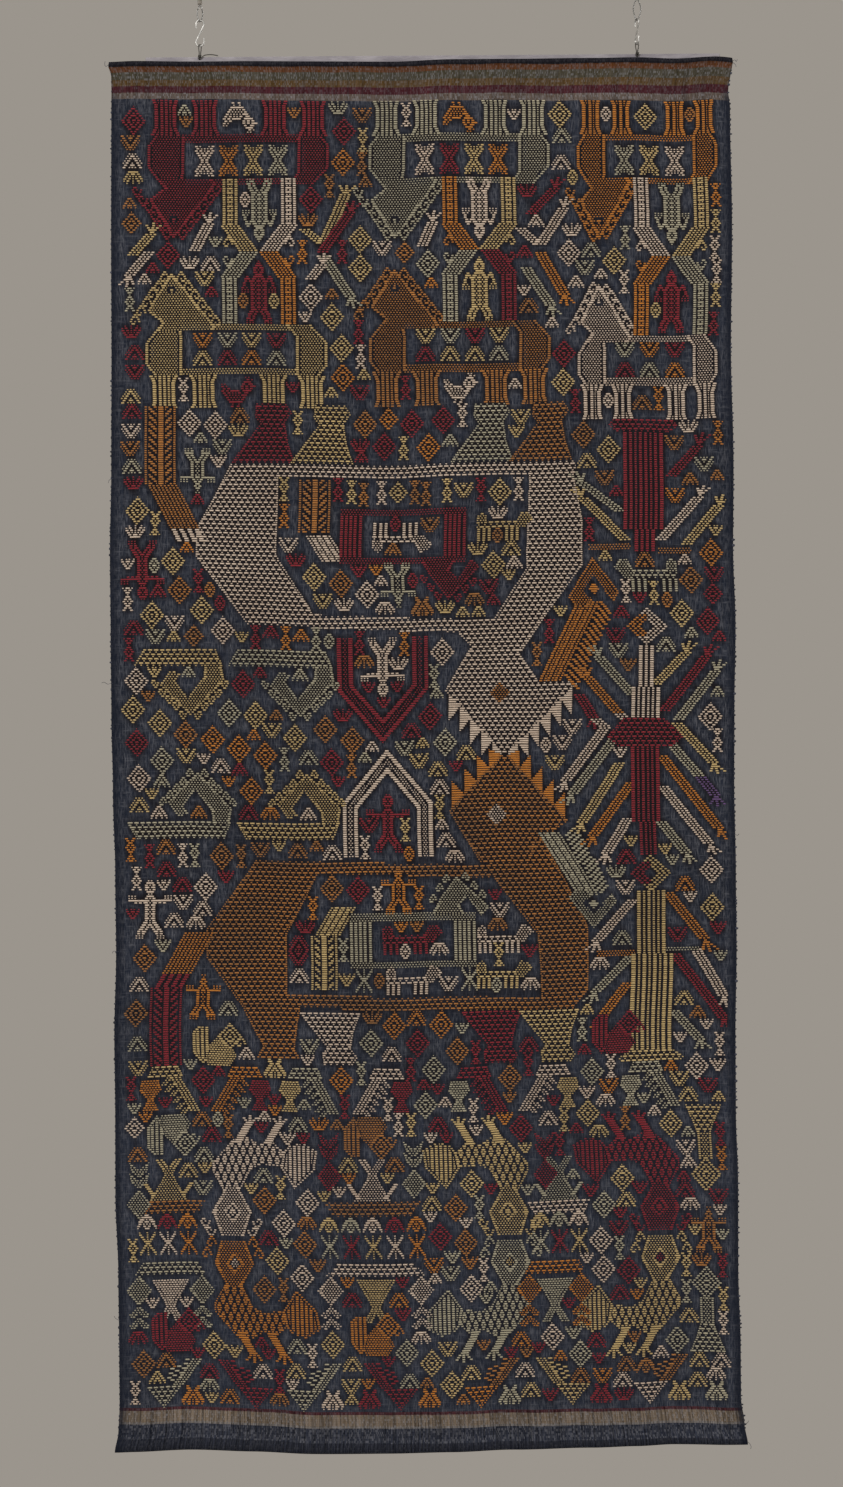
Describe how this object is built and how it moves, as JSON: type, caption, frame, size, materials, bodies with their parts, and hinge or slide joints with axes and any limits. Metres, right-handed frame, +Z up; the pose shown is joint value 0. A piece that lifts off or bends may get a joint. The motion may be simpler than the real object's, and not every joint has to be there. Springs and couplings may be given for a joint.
{
  "type": "funerary cloth hanging on a batten with cable hangers",
  "caption": "Indigo cotton funerary cloth with a figured supplementary weft and striped ends, hung flat from a slim batten by wire loops, S-hooks and cables.",
  "frame": {"origin": "in the ceiling plane, midway between the two cables' fittings, level with the caps' flat tops", "axes": "+Z up, +X to the right of the cloth's face as it is looked at, and the face looks along -Y"},
  "size_m": [0.4615, 0.0145, 1.0743],
  "materials": {
    "indigo_cotton": "hand-woven indigo cotton, matt, with paler warp streaks",
    "cream_yarn": "undyed cotton supplementary weft",
    "red_yarn": "deep red silk supplementary weft, soft sheen",
    "orange_yarn": "orange silk supplementary weft, soft sheen",
    "yellow_yarn": "mustard silk supplementary weft, soft sheen",
    "green_yarn": "sage green silk supplementary weft, soft sheen",
    "grey_tape": "pale lavender-grey fabric tape over the slat",
    "dark_wire": "dull dark wire",
    "steel_wire": "bright drawn wire",
    "steel_cable": "fine stranded cable",
    "crimped_ferrule": "dull crimped sleeve",
    "satin_cap": "satin turned metal"
  },
  "bodies": {
    "root": {"cloth": "indigo_cotton", "batten": "grey_tape", "wire_loop_left": "dark_wire", "wire_loop_right": "dark_wire", "s_hook_left": "steel_wire", "s_hook_right": "steel_wire", "cable_left": "steel_cable", "cable_right": "steel_cable", "ferrule_left": "crimped_ferrule", "ferrule_right": "crimped_ferrule", "ceiling_cap_left": "satin_cap", "ceiling_cap_right": "satin_cap"}
  },
  "joints": []
}
